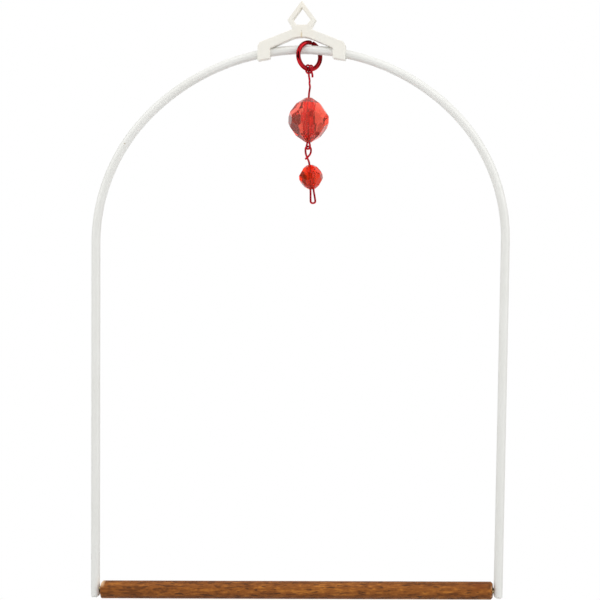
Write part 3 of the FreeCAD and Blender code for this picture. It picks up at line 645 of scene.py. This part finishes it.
def makePerch():
    low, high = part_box("perch")
    half, axisZ = high.x, (low.z + high.z) / 2
    radius, bore, deep = perchSet["dia"] / 2, perchSet["boreRadius"], half - perchSet["boreDepth"]
    inner = half - perchSet["rightChamfer"] - perchSet["step"]

    def endProfile(chamfer):
        # from the barrel over the chamfer and the end face into the blind bore
        corners = np.array([(inner, radius), (half - chamfer, radius), (half, radius - chamfer),
                            (half, bore), (deep, bore), (deep, 0.0)])
        return easedCorners(corners, perchSet["edgeRound"], perchSet["edgeSteps"])[:-1]

    barrel = np.linspace(-inner, inner, int(2 * half / perchSet["step"]))[1:-1]
    straight = np.stack([barrel, np.full(len(barrel), radius)], axis=1)
    leftEnd = endProfile(perchSet["leftChamfer"])[::-1] * (-1, 1)
    profile = np.concatenate([leftEnd, straight, endProfile(perchSet["rightChamfer"])])
    around = np.linspace(0, 2 * math.pi, perchSet["sides"], endpoint=False)
    along, r = profile[:, 0, None], profile[:, 1, None]
    # hand-sanded: flats and hollows that change along the dowel
    waves = [np.sin(turns * around + rate * along + start) for turns, rate, start in perchSet["waves"]]
    r = r + perchSet["unevenness"] * np.mean(waves, axis=0) * (r / radius) ** 2
    r = np.minimum(r, radius)
    y, z = r * np.cos(around), r * np.sin(around)
    # the left end is sawn askew: shorter towards the top, by the square of the height above the axis
    tall = np.maximum(z / radius, 0) ** 2
    x = along + perchSet["slant"] * tall * smoothStep(-along, half - perchSet["slantReach"], half)
    rings = np.stack([x, y, z + axisZ], axis=-1)
    poles = [(-deep, 0, axisZ), (deep, 0, axisZ)]
    points, faces = closedTube(rings, poles)
    piece = addPiece("stainedPerch", points, faces, stainedWood(axisZ, radius), "perch",
                     "perch", sharp=perchSet["sharp"])
    # bare wood on the sawn edge at the left end, towards its top, and in chips on the right end's edge
    height = z / radius
    atLeft = smoothStep(half + along, *perchSet["bareLeft"]) * smoothStep(height, *perchSet["bareTop"])
    chips = smoothStep(np.sin(perchSet["chips"] * around), *perchSet["chipRange"])
    atRight = smoothStep(half - along, *perchSet["bareRight"]) * perchSet["chipShare"] * chips
    bare = smoothStep(r / bore, *perchSet["bareRim"]) * (atLeft + atRight)
    # stain pooled on the front, fading as exp(-u^2 - v^2) along the dowel and up
    spotX, spotHigh = perchSet["stainAt"]
    spotLong, spotTall = perchSet["stainSize"]
    facing = perchSet["stainShare"] * smoothStep(-y / radius, *perchSet["stainFront"])
    pooled = facing * np.exp(-((x - spotX) / spotLong) ** 2 - ((height - spotHigh) / spotTall) ** 2)
    for name, values in (("bareWood", bare), ("pooledStain", pooled)):
        addLayer(piece, name, np.concatenate([values.ravel(), np.zeros(len(poles))]))


makePerch()
print("perch made")

# Hanger and pins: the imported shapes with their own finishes
finishes = {"hanger": hangerPlastic(), "left_pivot_pin": pinBrass(), "right_pivot_pin": pinBrass()}
for nodeName, finish in finishes.items():
    frame["nodes"][nodeName].material_slots[0].material = finish
print("hanger and pins finished")

# Ring: a round bar along most of a circle that stands on the wire's joint
ringFoot, ringAlong = jointAt("upper_wire_swing")
linkFoot, ringNormal = jointAt("lower_wire_swing")
ringSet = {"dia": 15.1 * mm, "wire": 2.5 * mm, "gap": 1.1 * mm, "gapTurn": 12.0, "endRound": 0.35 * mm,
           "lineSteps": 400, "step": 0.35 * mm, "sides": 40, "sharp": 50}


def makeRing():
    radius = ringSet["dia"] / 2
    halfGap = ringSet["gap"] / radius / 2
    turn = np.linspace(halfGap, 2 * math.pi - halfGap, ringSet["lineSteps"])[:, None]
    turn = turn + math.radians(ringSet["gapTurn"])
    centre = ringFoot + up * radius
    line = centre + radius * (up * np.cos(turn) + ringAlong * np.sin(turn))
    points, faces = roundBar(line, ringSet["wire"] / 2, ringSet)
    addPiece("redRing", points, faces, redMetal("ringRed", ringRedSet), "ring", "ring",
             sharp=ringSet["sharp"])


makeRing()
print("ring made")

# Wires: a thin bar along parabolas through listed bend points
wireSet = {"dia": 1.1 * mm, "endRound": 0.3 * mm, "strandGap": 0.55 * mm, "tuck": 4.5 * mm,
           "bendSteps": 14, "step": 0.16 * mm, "sides": 20, "sharp": 50}
upperSet = {"ringWire": 2.5 * mm, "wrapClearance": 0.42 * mm, "wrapGap": 1.1 * mm, "tailGap": 0.35 * mm,
            "tailRise": 1.15 * mm, "tailLength": 1.7 * mm, "shaft": 16.1 * mm, "beadLength": 25.0 * mm,
            "eyeHalf": 1.65 * mm, "eyeShoulder": 1.7 * mm, "eyeDepth": 3.8 * mm,
            # corners of the coil round the ring: which side along the ring's normal, and above or below it
            "coil": [(1, -1), (-1, -1), (-1, 1), (1, 1), (1, -1), (-1, -1)],
            # along the ring's normal and along the ring in mm, and down as a share of the shaft
            "bends": [(-1.92, 1.15, 0.18), (-0.6, 1.0, 0.40), (0.0, 0.25, 0.49), (0.5, 0.5, 0.61),
                      (0.2, 0.2, 0.76), (0.0, 0.0, 0.90)]}
lowerSet = {"linkGap": 0.25 * mm, "eyeHalf": 1.9 * mm, "eyeLength": 3.8 * mm, "neck": 2.65 * mm,
            "tail": 1.3 * mm, "lead": 0.75 * mm, "crossGap": 0.6 * mm, "crossShares": (-0.2, 0.8),
            "beadLength": 14.4 * mm, "loopHalf": 1.3 * mm, "loopShoulder": 5.2 * mm, "loopDepth": 7.5 * mm}


def bentLine(corners):
    # parabolas from the middle of each run to the middle of the next, drawn to the corner between them
    corners = np.array(corners)
    middles = (corners[:-1] + corners[1:]) / 2
    share = np.linspace(0, 1, wireSet["bendSteps"], endpoint=False)
    bent = parabolas(middles[:-1], corners[1:-1], middles[1:], share)
    return np.concatenate([corners[:1], bent, middles[-1:], corners[-1:]])


def eyeBelowBead(at, beadEnd, half, shoulder, depth):
    # down out of the bore, round a loop and up into the bore again; at takes a distance across and one down
    offset = (wireSet["dia"] + wireSet["strandGap"]) / 2
    tucked, mouth = beadEnd - wireSet["tuck"], beadEnd + wireSet["dia"] / 3
    oneSide = [(offset, tucked), (offset, mouth), (half, beadEnd + shoulder), (half, beadEnd + depth)]
    wayDown = [at(-across, down) for across, down in oneSide]
    wayUp = [at(across, down) for across, down in oneSide[::-1]]
    return wayDown + wayUp


def addWire(name, corners, body, node):
    points, faces = roundBar(bentLine(corners), wireSet["dia"] / 2, wireSet)
    addPiece(name, points, faces, redMetal(name + "Red", wireRedSet), body, node,
             sharp=wireSet["sharp"])


def makeUpperWire():
    def at(normal, along, down):
        return ringFoot + ringNormal * normal + ringAlong * along - up * down

    wrap = (upperSet["ringWire"] + wireSet["dia"]) / 2 + upperSet["wrapClearance"]
    quarter = (wireSet["dia"] + upperSet["wrapGap"]) / 4
    middle = (len(upperSet["coil"]) - 1) / 2
    out, rise = wrap + wireSet["dia"] + upperSet["tailGap"], wrap + upperSet["tailRise"]
    tail = [at(out, -quarter / 2, rise + upperSet["tailLength"]), at(out, -quarter / 2, rise)]
    coil = [at(normal * wrap, (step - middle) * quarter, down * wrap)
            for step, (normal, down) in enumerate(upperSet["coil"])]
    shaft = [at(normal * mm, along * mm, down * upperSet["shaft"])
             for normal, along, down in upperSet["bends"]]
    eye = eyeBelowBead(lambda across, down: at(across, 0, down), upperSet["shaft"] + upperSet["beadLength"],
                       upperSet["eyeHalf"], upperSet["eyeShoulder"], upperSet["eyeDepth"])
    addWire("upperWire", tail + coil + shaft + eye, "upper_link", "upper_wire")


def makeLowerWire():
    beadCentre, beadAxis = jointAt("small_bead_spin")
    beadTop = beadCentre + beadAxis * lowerSet["beadLength"] / 2
    across = unit(np.cross(toBack, beadAxis))
    rise = wireSet["dia"] + lowerSet["linkGap"]
    side, drop = ringAlong * lowerSet["eyeHalf"], lowerSet["eyeLength"] - rise
    # the neck crosses in front of the tail
    apart, half = wireSet["dia"] + lowerSet["crossGap"], wireSet["dia"] / 2
    front, back = (share * apart for share in lowerSet["crossShares"])
    neckDown = drop + lowerSet["neck"]
    tail = [linkFoot + (-half - lowerSet["tail"], back, -neckDown - half),
            linkFoot + (-half, back, half - neckDown)]
    eye = [linkFoot + side - up * drop, linkFoot + side + up * rise, linkFoot - side + up * rise,
           linkFoot - side - up * drop]
    neck = [linkFoot + (-half, front, -neckDown), beadTop + beadAxis * lowerSet["lead"]]
    loop = eyeBelowBead(lambda aside, down: beadTop + across * aside - beadAxis * down,
                        lowerSet["beadLength"], lowerSet["loopHalf"], lowerSet["loopShoulder"],
                        lowerSet["loopDepth"])
    addWire("lowerWire", tail + eye + neck + loop, "lower_link", "lower_wire")


makeUpperWire()
makeLowerWire()
print("wires made")

# Beads: eight facets to a row, every row cut by planes; rings of corners joined by flat facets
beadSet = {"sides": 8, "bore": 3.2 * mm, "boreSteps": 24, "flutes": 6, "neck": 1.0 * mm, "rim": 0.2 * mm,
           "rowSlope": 34.0, "crownSlope": 55.0, "edge": 0.12 * mm, "edgeSteps": 2, "edgeAngle": 14.0,
           # painted refraction streaks in the hollow: waves round it with their starts, and the sums where
           # the streaks fade in
           "streakWaves": [(5, 0), (8, 1)], "refractionStreakRange": (-0.2, 0.7)}
beadSizes = {
    "large_bead": {"dia": 22.9 * mm, "length": 25.0 * mm, "girdle": 3.7 * mm, "crown": 13.0 * mm,
                   "turn": -4.0, "hollow": 2.7 * mm, "fluteDepth": 0.35 * mm},
    "small_bead": {"dia": 13.3 * mm, "length": 14.4 * mm, "girdle": 2.15 * mm, "crown": 7.6 * mm,
                   "turn": 12.5, "hollow": 1.65 * mm, "fluteDepth": 0.2 * mm},
}


def beadCorners(shape):
    # radius, height and turn of the upper corner rings: girdle corners, then the middles between them,
    # where the planes of a row meet each other, their crown and the flat end
    halfTurn = math.pi / beadSet["sides"]
    radius, belt, crown, end = (shape[key] / 2 for key in ("dia", "girdle", "crown", "length"))
    row = math.tan(math.radians(beadSet["rowSlope"]))
    steep = math.tan(math.radians(beadSet["crownSlope"]))
    peakReach = radius * math.cos(halfTurn)
    peak = belt + (radius - peakReach * math.cos(halfTurn)) / row
    crownHigh = belt + (radius - crown) / row
    # the end is no higher than where the crown reaches the bore's rim
    rim = beadSet["bore"] / 2 + beadSet["rim"]
    end = min(end, crownHigh + (crown - rim) / steep)
    flat = crown - (end - crownHigh) * steep
    spread = 1 / math.cos(halfTurn)
    return [(radius, belt, 0), (peakReach, peak, halfTurn), (crown * spread, crownHigh, halfTurn),
            (flat * spread, end, halfTurn)]


def levelRing(radius, angles, z):
    # points round the bead's axis at one height
    return np.stack([radius * np.cos(angles), radius * np.sin(angles), np.full(len(angles), z)], axis=1)


def beadMesh(shape):
    sides, steps = beadSet["sides"], beadSet["boreSteps"]
    halfTurn = math.pi / sides
    rings = beadCorners(shape)
    rings = [(r, -z, turn) for r, z, turn in rings[::-1]] + rings
    around = np.arange(sides) * 2 * halfTurn
    points = [levelRing(r, around + turn, z) for r, z, turn in rings]
    # behind its mouth the bore opens to a fluted hollow, r + d (1 - cos n a) / 2 wide at an angle a
    fine = np.arange(sides * steps) * 2 * halfTurn / steps + halfTurn
    mouth, end, neck = beadSet["bore"] / 2, rings[-1][1], beadSet["neck"]
    hollow = shape["hollow"] + shape["fluteDepth"] * (1 - np.cos(beadSet["flutes"] * fine)) / 2
    bores = [(mouth, -end), (hollow, neck - end), (hollow, end - neck), (mouth, end)]
    points += [levelRing(bore, fine, z) for bore, z in bores]
    # numbers of the points, ring by ring from below
    cornerRings = np.arange(len(rings) * sides).reshape(-1, sides)
    lowFlat, lowCrown, lowPeak, lowBelt, belt, peak, crown, flat = cornerRings
    boreRings = cornerRings.size + np.arange(len(bores) * len(fine)).reshape(-1, len(fine))
    faces = []
    for one in range(sides):
        other = (one + 1) % sides
        lip = [(one * steps + step) % len(fine) for step in range(steps + 1)]
        faces += [
            [belt[other], peak[one], belt[one], lowBelt[one], lowPeak[one], lowBelt[other]],
            [crown[one], crown[other], flat[other], flat[one]],
            [lowCrown[other], lowCrown[one], lowFlat[one], lowFlat[other]],
            [belt[other], peak[other], crown[other], crown[one], peak[one]],
            [lowPeak[other], lowBelt[other], lowPeak[one], lowCrown[one], lowCrown[other]],
            [flat[one], flat[other], *boreRings[-1][lip[::-1]]],
            [lowFlat[other], lowFlat[one], *boreRings[0][lip]],
        ]
    beside = np.roll(boreRings, -1, axis=1)
    walls = np.stack([boreRings[:-1], boreRings[1:], beside[1:], beside[:-1]], axis=-1).reshape(-1, 4)
    faces = [[int(corner) for corner in face] for face in faces + walls.tolist()]
    # dark painted refraction streaks inside the hollow, where the waves round it add up to more than nothing
    waves = sum(np.sin(turns * fine + start) for turns, start in beadSet["streakWaves"])
    streak = np.zeros(cornerRings.size + boreRings.size)
    streak[boreRings[1:-1]] = smoothStep(waves, *beadSet["refractionStreakRange"])
    inside = np.zeros(len(streak))
    inside[boreRings[1:-1]] = 1
    return np.concatenate(points), faces, {"streak": streak, "hollowWall": inside}


def makeBead(name, title, material):
    shape = beadSizes[name]
    points, faces, layers = beadMesh(shape)
    centre, axis = jointAt(name + "_spin")
    turn = math.radians(shape["turn"])
    spun = np.array([[math.cos(turn), -math.sin(turn), 0], [math.sin(turn), math.cos(turn), 0], [0, 0, 1]])
    across = unit(np.cross(toBack, axis))
    tilted = np.stack([across, np.cross(axis, across), axis], axis=1)
    piece = addPiece(title, points @ (tilted @ spun).T + centre, faces, material, name, name)
    for layerName, values in layers.items():
        addLayer(piece, layerName, values)
    eased = piece.modifiers.new("easedEdges", "BEVEL")
    eased.width = beadSet["edge"]
    eased.segments = beadSet["edgeSteps"]
    eased.limit_method = "ANGLE"
    eased.angle_limit = math.radians(beadSet["edgeAngle"])
    eased.harden_normals = True


makeBead("large_bead", "largeBead", clearRed("largeBeadRed", largeBeadSet))
makeBead("small_bead", "smallBead", clearRed("smallBeadRed", smallBeadSet))
print("beads made")
